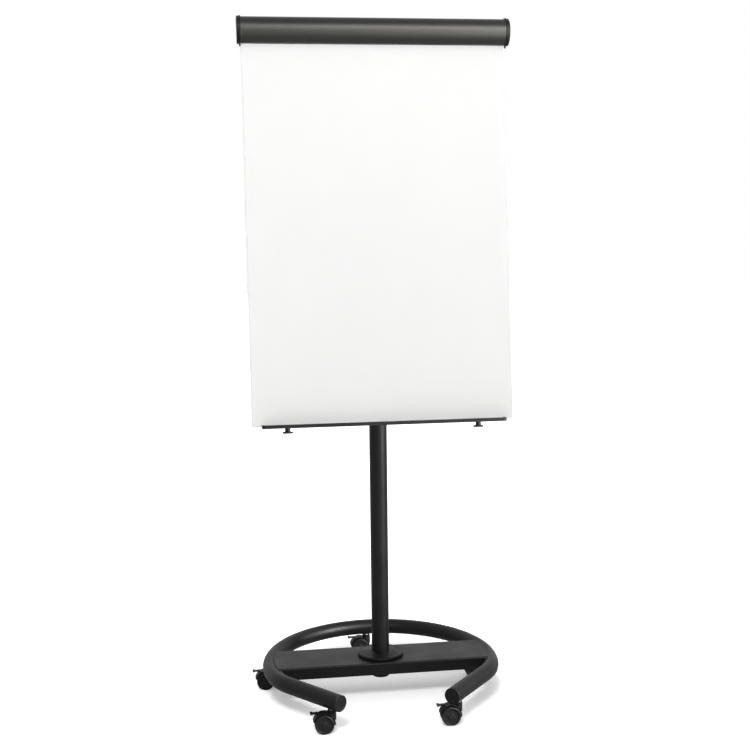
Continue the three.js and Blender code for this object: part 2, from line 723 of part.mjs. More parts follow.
function padClamp() {
  const left = mesh('pad_hook_left', padHook(), FINISHES.blackPlastic);
  left.position.x = -HOOK_X;
  const right = mesh('pad_hook_right', padHook(), FINISHES.blackPlastic);
  right.position.x = HOOK_X;
  const coverHalf = BOARD_WIDTH / 2;
  return [
    mesh('clamp_back_rail', clampRail(), FINISHES.anodised),
    mesh('clamp_cover', extrudeX(coverShape(), -coverHalf, coverHalf, 5), FINISHES.anodised),
    mesh('clamp_cap_left', clampCap(-1), FINISHES.blackPlastic),
    mesh('clamp_cap_right', clampCap(1), FINISHES.blackPlastic),
    mesh('clamp_pin_left', clampPin(-1), FINISHES.zinc),
    mesh('clamp_pin_right', clampPin(1), FINISHES.zinc),
    mesh('clamp_grip_strip', gripStrip(), FINISHES.rubber),
    left,
    right,
  ];
}

// ---------------------------------------------------------------- pen tray, in the frame of the board

// Shallow tray with a rim on three sides; its floor runs on under the lower edge of the board.
function penTray() {
  const half = TRAY_LENGTH / 2;
  const front = BOARD_FRONT - TRAY_REACH;
  const rear = BOARD_BACK - 1;
  const corner = 8;
  const top = TRAY_BOTTOM + TRAY_RIM;
  const floor = TRAY_BOTTOM + TRAY_WALL;
  const plan = (margin) => {
    const shape = new THREE.Shape();
    const radius = corner - margin;
    shape.moveTo(half - margin, rear + 4 * margin);
    shape.lineTo(-half + margin, rear + 4 * margin);
    shape.absarc(-half + corner, front + corner, radius, Math.PI, 1.5 * Math.PI);
    shape.absarc(half - corner, front + corner, radius, 1.5 * Math.PI, 2 * Math.PI);
    return shape;
  };
  const well = extrudeZ(plan(TRAY_WALL), floor, top + OVERRUN, 3);
  const rimEnd = BOARD_FRONT - TRAY_WALL;
  const underBoard = box(-half - OVERRUN, half + OVERRUN, rimEnd, rear + OVERRUN, floor, top + OVERRUN);
  return cut(extrudeZ(plan(0), TRAY_BOTTOM, top, 3), well, underBoard, ...studHoles());
}

// Thumb knob below the tray: disc, stem, and a stud that screws up into the board.
function trayKnob(side) {
  const top = TRAY_BOTTOM - REST;
  const stem = top - 11;
  return turned([
    [0, stem - 4.5],
    [12.5, stem - 4.5],
    [14, stem - 3.2],
    [14, stem],
    [7, stem],
    [7, top],
    [TRAY_STUD_RADIUS, top],
    [TRAY_STUD_RADIUS, top + 26],
    [0, top + 26],
  ], 18).translate(side * TRAY_KNOB_X, STUD_Y, 0);
}

function boardAssembly() {
  const group = new THREE.Group();
  group.position.z = TILT_AXIS_HEIGHT;
  group.rotation.x = -BOARD_LEAN;
  group.add(
    mesh('board_bracket', boardBracket(), FINISHES.powder),
    mesh('tilt_shaft', tiltShaft(), FINISHES.zinc),
    mesh('tilt_lever', tiltLever(), FINISHES.blackPlastic),
    mesh('tilt_washer_left', washer(-1), FINISHES.rubber),
    mesh('tilt_washer_right', washer(1), FINISHES.rubber),
    ...boardPanel(),
    ...padClamp(),
    mesh('pen_tray', penTray(), FINISHES.powder),
    mesh('tray_knob_left', trayKnob(-1), FINISHES.blackPlastic),
    mesh('tray_knob_right', trayKnob(1), FINISHES.blackPlastic),
  );
  return group;
}

// ---------------------------------------------------------------- casters, stem on the local Z axis

// Stem with a shoulder: the upper part stands in the ring tube, the lower part in the housing.
function casterStem() {
  const shoulder = CASTER_TOP - GAP;
  return turned([
    [0, STEM_BOTTOM],
    [STEM_RADIUS, STEM_BOTTOM],
    [STEM_RADIUS, shoulder - 1.2],
    [8, shoulder - 1.2],
    [8, shoulder],
    [STEM_RADIUS, shoulder],
    [STEM_RADIUS, 92],
    [0, 92],
  ], 12);
}

// Housing in one piece: hood over both wheels, web between them, boss for the stem, axle and lever ears.
function casterHousing() {
  const sector = (inner, outer) => {
    const shape = new THREE.Shape();
    shape.absarc(-WHEEL_TRAIL, WHEEL_RADIUS, outer, HOOD_START, HOOD_END);
    shape.absarc(-WHEEL_TRAIL, WHEEL_RADIUS, inner, HOOD_END, HOOD_START, true);
    return shape;
  };
  const bossTop = CASTER_TOP - GAP - 1.5;
  const hood = extrudeY(sector(HOOD_INNER, HOOD_OUTER), -HOOD_HALF, HOOD_HALF, 6);
  const web = extrudeY(sector(AXLE_RADIUS + 1, HOOD_INNER + 1), -WEB_HALF, WEB_HALF, 4);
  const hub = barY(8, -WEB_HALF, WEB_HALF, 12).translate(-WHEEL_TRAIL, 0, WHEEL_RADIUS);
  const axle = barY(AXLE_RADIUS, -WHEEL_OUTER + 3, WHEEL_OUTER - 3, 10);
  axle.translate(-WHEEL_TRAIL, 0, WHEEL_RADIUS);
  const boss = barZ(11.5, 34, bossTop, 14);
  const spaceEnd = HOOD_HALF + OVERRUN;
  const wheelSpace = barY(HOOD_INNER, WEB_HALF, spaceEnd, 24).translate(-WHEEL_TRAIL, 0, WHEEL_RADIUS);
  const otherSpace = wheelSpace.clone().translate(0, -WEB_HALF - spaceEnd, 0);
  const bossOnly = cut(boss, wheelSpace, otherSpace);
  const stemHole = barZ(STEM_RADIUS + GAP, STEM_BOTTOM - 0.5, bossTop + OVERRUN, 12);
  return cut(join(hood, web, hub, axle, bossOnly), stemHole);
}

// Wheel about an axis along Y; side is -1 for the wheel nearer the user.
function casterWheel(side) {
  const bore = AXLE_RADIUS + 0.4;
  const profile = [
    [0, WHEEL_OUTER - 2.4],
    [bore, WHEEL_OUTER - 2.4],
    [bore, WHEEL_INNER],
    [WHEEL_RADIUS, WHEEL_INNER],
    [WHEEL_RADIUS, WHEEL_OUTER - 2],
    [WHEEL_RADIUS - 2, WHEEL_OUTER],
    [0, WHEEL_OUTER],
  ];
  const wheel = turnedY(profile, 20);
  return side > 0 ? wheel : wheel.rotateZ(Math.PI);
}

// Brake lever: a barrel above the hood and a flat pedal with a widened end.
const BRAKE_X = -38;
const BRAKE_Z = 51.4;

function brakeLever() {
  const pedal = new THREE.Shape([
    [BRAKE_X + 1, -5],
    [BRAKE_X + 1, 5],
    [-50, 5],
    [-50.5, 9],
    [-55.5, 9],
    [-55.5, -9],
    [-50.5, -9],
    [-50, -5],
  ].map(([x, y]) => new THREE.Vector2(x, y)).reverse());
  const barrel = barY(2.2, -8, 8, 10).translate(BRAKE_X, 0, BRAKE_Z);
  return join(extrudeZ(pedal, BRAKE_Z - 0.6, BRAKE_Z + 1.8), barrel);
}

function caster(name, run) {
  const group = new THREE.Group();
  group.position.copy(ringPoint(run));
  const outer = mesh(`caster_${name}_wheel_front`, casterWheel(-1), FINISHES.tread);
  const inner = mesh(`caster_${name}_wheel_back`, casterWheel(1), FINISHES.tread);
  for (const wheel of [outer, inner]) {
    wheel.position.set(-WHEEL_TRAIL, 0, WHEEL_RADIUS);
  }
  group.add(
    mesh(`caster_${name}_stem`, casterStem(), FINISHES.zinc),
    mesh(`caster_${name}_housing`, casterHousing(), FINISHES.blackPlastic),
    outer,
    inner,
    mesh(`caster_${name}_brake`, brakeLever(), FINISHES.blackPlastic),
  );
  return group;
}

// ---------------------------------------------------------------- easel

// Distance from the axis of the post back to the middle of the base, end plugs to closed rear.
const PLUG_REACH = (REST + END_DISC) * Math.cos(BEND_END) - RING_TUBE_RADIUS * Math.sin(BEND_END);
const BASE_FRONT = ringPoint(HALF_RUN).y - PLUG_REACH;
const BASE_MIDDLE = (RING_RADIUS + RING_TUBE_RADIUS + BASE_FRONT) / 2;

const fromPost = new THREE.Group();
fromPost.position.y = -BASE_MIDDLE;
fromPost.add(base(), post(), boardAssembly());
for (const [name, run] of Object.entries(CASTER_RUNS)) {
  fromPost.add(caster(name, run));
}

const easel = new THREE.Group();
easel.add(fromPost);

export default easel;
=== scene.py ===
import json
import math

import bmesh
import bpy
from mathutils import Matrix, Vector
from mathutils.geometry import tessellate_polygon

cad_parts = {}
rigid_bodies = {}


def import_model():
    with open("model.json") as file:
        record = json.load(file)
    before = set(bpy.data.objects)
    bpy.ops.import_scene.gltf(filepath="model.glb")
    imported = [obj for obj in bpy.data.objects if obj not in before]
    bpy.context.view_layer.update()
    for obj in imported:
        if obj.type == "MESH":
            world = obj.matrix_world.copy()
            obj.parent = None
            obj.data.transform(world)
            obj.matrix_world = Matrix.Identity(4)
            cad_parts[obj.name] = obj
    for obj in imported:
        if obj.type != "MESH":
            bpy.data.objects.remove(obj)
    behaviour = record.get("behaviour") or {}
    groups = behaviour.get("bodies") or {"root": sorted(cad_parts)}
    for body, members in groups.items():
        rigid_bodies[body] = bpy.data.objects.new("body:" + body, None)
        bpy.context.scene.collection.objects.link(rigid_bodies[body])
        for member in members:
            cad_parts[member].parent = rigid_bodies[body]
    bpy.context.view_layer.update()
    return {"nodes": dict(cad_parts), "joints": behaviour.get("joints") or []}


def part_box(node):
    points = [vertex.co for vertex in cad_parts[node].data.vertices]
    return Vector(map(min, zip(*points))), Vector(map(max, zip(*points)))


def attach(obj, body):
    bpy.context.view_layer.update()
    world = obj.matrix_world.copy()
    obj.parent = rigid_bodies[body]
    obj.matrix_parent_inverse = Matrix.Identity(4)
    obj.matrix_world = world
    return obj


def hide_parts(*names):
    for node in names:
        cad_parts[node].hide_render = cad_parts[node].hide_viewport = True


# Looks of a mobile flip chart easel. Shapes are drawn in millimetres in the frame of the post, of the
# leaning board or of a caster, and are then placed in the row frame in metres.

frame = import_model()

# ------------------------------------------------------------------ frames

MM = Matrix.Scale(0.001, 4)
JOINTS = {joint["name"]: joint for joint in frame["joints"]}
LEAN = math.radians(6.6)
CASTERS = ("front_left", "front_right", "side_left", "side_right", "rear")

post_low, post_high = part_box("outer_post")
POST = Matrix.Translation(((post_low.x + post_high.x) / 2, (post_low.y + post_high.y) / 2, 0)) @ MM
BOARD = Matrix.Translation(JOINTS["board_tilt"]["pos_m"]) @ Matrix.Rotation(-LEAN, 4, "X") @ MM


def caster_frame(name):
    x, y, _ = JOINTS["swivel_" + name]["pos_m"]
    return Matrix.Translation((x, y, 0)) @ MM


# ------------------------------------------------------------------ solids as (vertices, faces)


def turned(solid, matrix):
    """The solid moved by a matrix."""
    vertices, faces = solid
    return [tuple(matrix @ Vector(v)) for v in vertices], faces


def shifted(solid, x, y, z):
    return turned(solid, Matrix.Translation((x, y, z)))


def together(*solids):
    """Several closed shells as one solid."""
    vertices, faces = [], []
    for more, corners in solids:
        start = len(vertices)
        vertices += more
        faces += [[start + i for i in face] for face in corners]
    return vertices, faces


def arc(u, v, radius, start, end, steps=12):
    """Points of an arc about (u, v), in degrees."""
    turns = [math.radians(start + (end - start) * i / steps) for i in range(steps + 1)]
    return [(u + radius * math.cos(t), v + radius * math.sin(t)) for t in turns]


def circle(u, v, radius, steps=48, hole=False):
    points = arc(u, v, radius, 0, 360, steps)[:-1]
    return points[::-1] if hole else points


def rectangle(u0, u1, v0, v1, radius=0.0, steps=6, hole=False):
    if radius:
        points = (
            arc(u1 - radius, v0 + radius, radius, -90, 0, steps)
            + arc(u1 - radius, v1 - radius, radius, 0, 90, steps)
            + arc(u0 + radius, v1 - radius, radius, 90, 180, steps)
            + arc(u0 + radius, v0 + radius, radius, 180, 270, steps)
        )
    else:
        points = [(u0, v0), (u1, v0), (u1, v1), (u0, v1)]
    return points[::-1] if hole else points


def softened(points, closed, steps=4):
    """Rounds each (u, v, radius) corner of a profile; a corner without a radius stays sharp."""
    out = []
    count = len(points)
    for i, point in enumerate(points):
        radius = point[2] if len(point) > 2 else 0
        here = Vector(point[:2])
        if not radius or (not closed and i in (0, count - 1)):
            out.append(tuple(here))
            continue
        before = (Vector(points[i - 1][:2]) - here).normalized()
        after = (Vector(points[(i + 1) % count][:2]) - here).normalized()
        half = before.angle(after) / 2
        if half > math.radians(88):
            out.append(tuple(here))
            continue
        reach = radius / math.tan(half)
        middle = here + (before + after).normalized() * (radius / math.sin(half))
        first = here + before * reach - middle
        last = here + after * reach - middle
        sweep = first.angle_signed(last)
        for k in range(steps + 1):
            spot = first.copy()
            spot.rotate(Matrix.Rotation(-sweep * k / steps, 2))
            out.append(tuple(middle + spot))
    return out


def lathe(profile, steps=64, ring=False):
    """Turns (radius, height, rounding) points about Z, running up the outside. A ring's profile is closed."""
    vertices, rows, faces = [], [], []
    for radius, height in softened(profile, ring):
        if radius < 1e-6:
            rows.append([len(vertices)] * steps)
            vertices.append((0, 0, height))
            continue
        rows.append(list(range(len(vertices), len(vertices) + steps)))
        turns = [2 * math.pi * i / steps for i in range(steps)]
        vertices += [(radius * math.cos(t), radius * math.sin(t), height) for t in turns]
    for low, high in zip(rows, rows[1:] + rows[:1] if ring else rows[1:]):
        for i in range(steps):
            j = (i + 1) % steps
            face = list(dict.fromkeys((low[i], low[j], high[j], high[i])))
            if len(face) > 2:
                faces.append(face)
    return vertices, faces


ALONG_X = Matrix.Rotation(math.pi / 2, 4, "Y")
ALONG_Y = Matrix.Rotation(-math.pi / 2, 4, "X")


def lathe_x(profile, steps=64, ring=False):
    return turned(lathe(profile, steps, ring), ALONG_X)


def lathe_y(profile, steps=64, ring=False):
    return turned(lathe(profile, steps, ring), ALONG_Y)


def rod(radius, low, high, edge=0.5):
    """Profile of a plain round bar with softened rims."""
    return [(0, low), (radius, low, edge), (radius, high, edge), (0, high)]


def sleeve(outer, inner, low, high, edge=0.4):
    """Closed profile of a sleeve with softened rims."""
    return [(inner, low, edge), (outer, low, edge), (outer, high, edge), (inner, high, edge)]


def inset(loop, distance):
    """A loop moved into its material by a distance, with mitred corners."""
    out = []
    for i, here in enumerate(loop):
        before, after = loop[i - 1], loop[(i + 1) % len(loop)]
        one = Vector((here[1] - before[1], before[0] - here[0])).normalized()
        two = Vector((after[1] - here[1], here[0] - after[0])).normalized()
        push = (one + two) * (distance / max(0.3, 1 + one.dot(two)))
        out.append((here[0] - push.x, here[1] - push.y))
    return out


AXES = {
    "x": lambda u, v, w: (w, u, v),
    "y": lambda u, v, w: (u, w, v),
    "z": lambda u, v, w: (u, v, w),
}


def prism(loops, low, high, axis, edge=0.4, steps=3):
    """Extrudes loops along an axis with rounded rims. The outline runs anticlockwise and holes clockwise.
    Along x the loops are (y, z), along y they are (x, z) and along z they are (x, y)."""
    turns = [math.pi / 2 * i / steps for i in range(steps + 1)] if edge else [math.pi / 2]
    rims = [(edge * (1 - math.sin(t)), edge * (1 - math.cos(t))) for t in turns]
    levels = [(cut, low + rise) for cut, rise in rims] + [(cut, high - rise) for cut, rise in rims[::-1]]
    if not edge:
        levels = [(0, low), (0, high)]
    place = AXES[axis]
    vertices, faces, ends = [], [], ([], [])
    for loop in loops:
        rows = []
        for cut, height in levels:
            rows.append(range(len(vertices), len(vertices) + len(loop)))
            vertices += [place(u, v, height) for u, v in (inset(loop, cut) if cut else loop)]
        for below, above in zip(rows, rows[1:]):
            for i in range(len(loop)):
                j = (i + 1) % len(loop)
                faces.append([below[i], below[j], above[j], above[i]])
        ends[0].extend(rows[0])
        ends[1].extend(rows[-1])
    flat = [[Vector((u, v, 0)) for u, v in loop] for loop in loops]
    for triangle in tessellate_polygon(flat):
        faces.append([ends[0][i] for i in triangle])
        faces.append([ends[1][i] for i in reversed(triangle)])
    return vertices, faces


def block(x0, x1, y0, y1, z0, z1, edge=0.4, corner=0.0):
    return prism([rectangle(x0, x1, z0, z1, corner)], y0, y1, "y", edge)


def to_mesh(solid, name="shape"):
    """A mesh with outward normals and no doubled corners."""
    mesh = bpy.data.meshes.new(name)
    mesh.from_pydata(solid[0], [], solid[1])
    bm = bmesh.new()
    bm.from_mesh(mesh)
    bmesh.ops.remove_doubles(bm, verts=bm.verts, dist=1e-4)
    bmesh.ops.recalc_face_normals(bm, faces=bm.faces)
    bm.to_mesh(mesh)
    bm.free()
    return mesh


def combined(solid, *others, how="DIFFERENCE"):
    """The solid with the others cut away, or joined on."""
    scene = bpy.context.scene.collection
    shapes = [bpy.data.objects.new("shape", to_mesh(s)) for s in (solid, *others)]
    for shape in shapes:
        scene.objects.link(shape)
    for shape in shapes[1:]:
        step = shapes[0].modifiers.new("step", "BOOLEAN")
        step.operation = how
        step.solver = "MANIFOLD"
        step.object = shape
    result = shapes[0].evaluated_get(bpy.context.evaluated_depsgraph_get()).data
    made = [tuple(v.co) for v in result.vertices], [list(p.vertices) for p in result.polygons]
    for shape in shapes:
        bpy.data.objects.remove(shape)
    return made


# ------------------------------------------------------------------ procedural materials


def add(tree, kind, inputs=None, **settings):
    node = tree.nodes.new(kind)
    for key, value in settings.items():
        setattr(node, key, value)
    for key, value in (inputs or {}).items():
        if isinstance(value, bpy.types.NodeSocket):
            tree.links.new(value, node.inputs[key])
        else:
            node.inputs[key].default_value = value
    return node


def remap(tree, value, low, high, to_low, to_high):
    inputs = {"Value": value, "From Min": low, "From Max": high, "To Min": to_low, "To Max": to_high}
    return add(tree, "ShaderNodeMapRange", inputs).outputs["Result"]


def blend(tree, factor, first, second):
    node = add(tree, "ShaderNodeMix", data_type="RGBA")
    for socket, value in zip((node.inputs[0], node.inputs[6], node.inputs[7]), (factor, first, second)):
        if isinstance(value, bpy.types.NodeSocket):
            tree.links.new(value, socket)
        else:
            socket.default_value = value
    return node.outputs[2]


def noise(tree, place, scale, detail=3.0, rough=0.55):
    inputs = {"Vector": place, "Scale": scale, "Detail": detail, "Roughness": rough}
    return add(tree, "ShaderNodeTexNoise", inputs).outputs["Fac"]


def worn_edges(tree, place, radius, patches):
    """1 along rims that hands and shoes rub, 0 elsewhere, broken up by a noise."""
    rounded = add(tree, "ShaderNodeBevel", {"Radius": radius}, samples=4).outputs["Normal"]
    plain = add(tree, "ShaderNodeNewGeometry").outputs["Normal"]
    same = add(tree, "ShaderNodeVectorMath", {0: rounded, 1: plain}, operation="DOT_PRODUCT")
    rim = remap(tree, same.outputs["Value"], 0.985, 0.86, 0.0, 1.0)
    broken = remap(tree, noise(tree, place, patches, 5), 0.42, 0.62, 0.0, 1.0)
    return add(tree, "ShaderNodeMath", {0: rim, 1: broken}, operation="MULTIPLY").outputs[0]


def grey(value, warm=0.0):
    return (value * (1 + warm), value, value * (1 - warm), 1.0)


def finish(
    name, colour, roughness, metallic=0.0, specular=0.5, grain=900.0, bump=0.15, depth=0.00006,
    stretch=(1, 1, 1), uneven=0.06, mottle=0.08, rub=None, rub_share=0.5, coat=0.0, spangle=0.0,
):
    """A coating with a grain that shows as bump, uneven gloss, a mottled tone and rubbed edges."""
    material = bpy.data.materials.new(name)
    material.use_nodes = True
    tree = material.node_tree
    shader = tree.nodes["Principled BSDF"]
    place = add(tree, "ShaderNodeTexCoord").outputs["Object"]
    drawn = add(tree, "ShaderNodeMapping", {"Vector": place, "Scale": stretch}).outputs["Vector"]
    fine = noise(tree, drawn, grain, 4)
    broad = noise(tree, drawn, grain / 60, 4)
    darker = tuple(c * (1 - mottle) for c in colour[:3]) + (1.0,)
    lighter = tuple(min(1.0, c * (1 + mottle)) for c in colour[:3]) + (1.0,)
    tone = blend(tree, remap(tree, broad, 0.35, 0.65, 0.0, 1.0), darker, lighter)
    gloss = remap(tree, broad, 0.3, 0.7, roughness - uneven, roughness + uneven)
    ripple = remap(tree, fine, 0.3, 0.7, -uneven / 2, uneven / 2)
    gloss = add(tree, "ShaderNodeMath", {0: gloss, 1: ripple}, operation="ADD").outputs[0]
    if spangle:
        cells = add(tree, "ShaderNodeTexVoronoi", {"Vector": place, "Scale": 140.0, "Randomness": 0.9})
        shade = add(tree, "ShaderNodeSeparateColor", {"Color": cells.outputs["Color"]}).outputs[0]
        tone = blend(tree, remap(tree, shade, 0.0, 1.0, 0.0, spangle), tone, grey(0.35))
        gloss = add(
            tree, "ShaderNodeMath", {0: gloss, 1: remap(tree, shade, 0.0, 1.0, -0.06, 0.08)}, operation="ADD"
        ).outputs[0]
    if rub:
        edge = worn_edges(tree, place, 0.0012, 90.0)
        share = add(tree, "ShaderNodeMath", {0: edge, 1: rub_share}, operation="MULTIPLY").outputs[0]
        tone = blend(tree, share, tone, rub)
        gloss = add(
            tree, "ShaderNodeMath", {0: gloss, 1: remap(tree, share, 0.0, 1.0, 0.0, -0.12)}, operation="ADD"
        ).outputs[0]
    relief = add(tree, "ShaderNodeBump", {"Height": fine, "Strength": bump, "Distance": depth})
    tree.links.new(tone, shader.inputs["Base Color"])
    tree.links.new(gloss, shader.inputs["Roughness"])
    tree.links.new(relief.outputs["Normal"], shader.inputs["Normal"])
    shader.inputs["Metallic"].default_value = metallic
    shader.inputs["Specular IOR Level"].default_value = specular
    shader.inputs["Coat Weight"].default_value = coat
    shader.inputs["Coat Roughness"].default_value = 0.12
    return material


FINISHES = {
    "black_powder_coat": finish(
        "powder_coat", grey(0.005, 0.03), 0.46, specular=0.16, grain=700, bump=0.3, depth=0.00015,
        rub=grey(0.05), rub_share=0.45,
    ),
    "black_plastic": finish(
        "black_plastic", grey(0.004, 0.02), 0.5, specular=0.16, grain=1400, bump=0.3,
        rub=grey(0.035), rub_share=0.5,
    ),
    "wheel_plastic": finish(
        "wheel_plastic", grey(0.0055, 0.02), 0.58, specular=0.18, grain=600, bump=0.35,
        uneven=0.1, mottle=0.2, rub=grey(0.05), rub_share=0.6,
    ),
    "anodised_rail": finish(
        "anodised_rail", grey(0.03, 0.02), 0.46, metallic=0.85, grain=1200, bump=0.25, depth=0.00004,
        stretch=(0.012, 1, 1), uneven=0.05, mottle=0.12, rub=grey(0.25), rub_share=0.4,
    ),
    "white_enamel": finish(
        "white_enamel", grey(0.69, 0.004), 0.42, specular=0.12, grain=500, bump=0.06,
        uneven=0.03, mottle=0.006, rub=grey(0.7), rub_share=0.3,
    ),
    "pale_trim": finish(
        "pale_trim", grey(0.7), 0.45, grain=1100, bump=0.15, mottle=0.03, rub=grey(0.5), rub_share=0.4,
    ),
    "board_core": finish(
        "pressed_board", (0.42, 0.29, 0.16, 1.0), 0.85, grain=450, bump=0.6, depth=0.0003, mottle=0.3,
        rub=(0.3, 0.2, 0.1, 1.0), rub_share=0.4,
    ),
    "zinc_steel": finish(
        "zinc_steel", grey(0.52, -0.01), 0.36, metallic=0.9, grain=800, bump=0.12,
        uneven=0.06, rub=grey(0.75), rub_share=0.5, spangle=0.4,
    ),
    "grip_rubber": finish(
        "grip_rubber", grey(0.012), 0.82, specular=0.3, grain=1500, bump=0.5, depth=0.0001, rub=grey(0.03)
    ),
}


# ------------------------------------------------------------------ pieces

SMOOTH = math.radians(38)


def piece(name, solid, place, body, nodes, slot, bevel=0.0):
    """A finished piece that rides on a body and stands for CAD nodes."""
    mesh = to_mesh(solid, name)
    mesh.transform(place)
    mesh.shade_smooth()
    mesh.set_sharp_from_angle(angle=SMOOTH)
    mesh.materials.append(FINISHES[slot])
    shape = bpy.data.objects.new(name, mesh)
    bpy.context.scene.collection.objects.link(shape)
    if bevel:
        rim = shape.modifiers.new("rim", "BEVEL")
        rim.width = bevel / 1000
        rim.segments = 3
        rim.limit_method = "ANGLE"
        rim.angle_limit = math.radians(40)
    even = shape.modifiers.new("even", "WEIGHTED_NORMAL")
    even.keep_sharp = True
    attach(shape, body)
    if nodes:
        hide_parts(*nodes)
    return shape


def keep(node, slot):
    """A CAD node that is shown as packed, with its own finish."""
    shape = frame["nodes"][node]
    shape.data.materials.clear()
    shape.data.materials.append(FINISHES[slot])


# ------------------------------------------------------------------ ring base

RING = 304.0
BEND = 158.0
BEND_START, BEND_END = math.radians(-14), math.radians(-39.3)
BACK_RUN = RING * (math.pi / 2 - BEND_START)
BEND_RUN = BEND * (BEND_START - BEND_END)
HALF_RUN = BACK_RUN + BEND_RUN + 188
TUBE = 21.5
RING_HEIGHT = 82.5
BAR_TOP = 104.5
BAR_BOTTOM = 70.5
CASTER_TOP = 61.0


def polar(radius, angle):
    return Vector((radius * math.cos(angle), radius * math.sin(angle), 0))


def ring_place(run):
    """A point of the ring's centreline and the outward direction there; the run starts at the middle of the
    back and is negative to the left."""
    reach = abs(run)
    if reach <= BACK_RUN:
        angle = math.pi / 2 - reach / RING
        spot = polar(RING, angle)
    else:
        bent = min(reach - BACK_RUN, BEND_RUN)
        angle = BEND_START - bent / BEND
        straight = polar(reach - BACK_RUN - bent, BEND_END - math.pi / 2)
        spot = polar(RING - BEND, BEND_START) + polar(BEND, angle) + straight
    outward = polar(1, angle)
    if run < 0:
        spot.x, outward.x = -spot.x, -outward.x
    return spot, outward


def bent_tube(outer, inner, lip=0.6, along=168, around=56):
    """The open ring of tube, with softened ends. inner 0 is a solid bar."""
    last = HALF_RUN - lip
    stations = [(last * (2 * i / along - 1), 0.0) for i in range(along + 1)]
    stations = [(-HALF_RUN, lip)] + stations + [(HALF_RUN, lip)]
    vertices, faces = [], []
    walls = [(outer, -1)] + ([(inner, 1)] if inner else [])
    for radius, sense in walls:
        for run, back in stations:
            spot, outward = ring_place(run)
            r = radius + sense * back
            for k in range(around):
                t = 2 * math.pi * k / around
                x, y, _ = spot + outward * (r * math.cos(t))
                vertices.append((x, y, RING_HEIGHT + r * math.sin(t)))
    size = len(stations) * around
    for wall in range(len(walls)):
        for s in range(len(stations) - 1):
            for k in range(around):
                low = wall * size + s * around
                n = (k + 1) % around
                faces.append([low + k, low + n, low + around + n, low + around + k])
    for end_row in (0, (len(stations) - 1) * around):
        if inner:
            for k in range(around):
                n = (k + 1) % around
                faces.append([end_row + k, end_row + n, size + end_row + n, size + end_row + k])
        else:
            faces.append([end_row + k for k in range(around)])
    return vertices, faces


def ring_end(side):
    """Frame of a tube end: origin on the centreline, Z out of the tube."""
    spot, across = ring_place(side * HALF_RUN)
    out = polar(1, BEND_END - math.pi / 2)
    out.x *= side
    rows = Matrix((across, out.cross(across), out)).transposed().to_4x4()
    return Matrix.Translation((spot.x, spot.y, RING_HEIGHT)) @ rows


tube = bent_tube(TUBE, TUBE - 2)
stem_holes = []
for caster in CASTERS:
    spot = POST.inverted() @ Vector(JOINTS["swivel_" + caster]["pos_m"])
    stem_holes.append(shifted(lathe(rod(5.8, CASTER_TOP - 5, CASTER_TOP + 6, 0), 24), spot.x, spot.y, 0))
piece("ring_tube", combined(tube, *stem_holes), POST, "base", ["base_ring"], "black_powder_coat")

cap = lathe([
    (0, -12), (17.2, -12, 0.6), (18.4, -10.5, 0.6), (18.4, 0), (TUBE, 0, 0.3), (TUBE, 2, 0.9),
    (17.5, 2.0, 0.5), (16.8, 1.5, 0.5), (0, 1.5),
], 72)
for side, name in ((-1, "left"), (1, "right")):
    place = POST @ ring_end(side) @ Matrix.Translation((0, 0, 0.1))
    piece(f"ring_plug_{name}", cap, place, "base", [f"ring_cap_{name}"], "black_plastic")

bar = prism(
    [
        rectangle(-72, 72, BAR_BOTTOM, BAR_TOP, 4, 6),
        rectangle(-69.5, 69.5, BAR_BOTTOM + 2.5, BAR_TOP - 2.5, 1.5, 3, hole=True),
    ],
    -RING, RING, "x", 0,
)
bar = combined(bar, lathe(rod(294.5, BAR_BOTTOM - 5, BAR_TOP + 5, 0), 160), how="INTERSECT")
bar = combined(
    bar,
    bent_tube(TUBE + 0.3, 0),
    lathe(rod(24.6, BAR_BOTTOM - 5, BAR_TOP + 5, 0), 64),
)
piece("cross_bar", bar, POST, "base", ["crossbar"], "black_powder_coat")


def weld(points, radius, step=2.2):
    """A rippled bead along a line of points."""
    path = [Vector(points[0])]
    for point in points[1:]:
        point = Vector(point)
        length = (point - path[-1]).length
        count = max(1, round(length / (step / 3)))
        start = path[-1].copy()
        path += [start.lerp(point, (i + 1) / count) for i in range(count)]
    vertices, faces, around = [], [], 10
    for i, here in enumerate(path):
        along = (path[min(i + 1, len(path) - 1)] - path[max(i - 1, 0)]).normalized()
        side = along.cross(Vector((0.3, 0.2, 1))).normalized()
        up = side.cross(along)
        swell = radius * (1 + 0.1 * math.sin(2 * math.pi * i / 3)) * (0.55 if i in (0, len(path) - 1) else 1)
        for k in range(around):
            t = 2 * math.pi * k / around
            vertices.append(tuple(here + (side * math.cos(t) + up * math.sin(t)) * swell))
    for i in range(len(path) - 1):
        for k in range(around):
            n = (k + 1) % around
            faces.append([i * around + k, i * around + n, (i + 1) * around + n, (i + 1) * around + k])
    faces += [list(range(around)), list(range(len(vertices) - around, len(vertices)))]
    return vertices, faces


def saddle_line(side):
    """Where the outside of the bar meets the tube, from the lower front round the top to the lower back."""
    outline = [(-72, BAR_BOTTOM + 4 + i * 2) for i in range(14)]
    outline += [(-y, z) for y, z in arc(68, BAR_TOP - 4, 4, 0, 90, 4)]
    outline += [(-66 + i * 6, BAR_TOP) for i in range(23)]
    outline += arc(68, BAR_TOP - 4, 4, 90, 0, 4)
    outline += [(72, BAR_TOP - 6 - i * 2) for i in range(13)]
    line = []
    for y, z in outline:
        rise = abs(z - RING_HEIGHT)
        reach = RING - math.sqrt(TUBE ** 2 - rise ** 2) if rise < TUBE else RING
        reach = min(294.5, reach)
        line.append((side * math.sqrt(reach ** 2 - y ** 2), y, min(z, 102.6)))
    return line


for side, name in ((-1, "left"), (1, "right")):
    piece(f"bar_weld_{name}", weld(saddle_line(side), 1.9), POST, "base", [], "black_powder_coat")

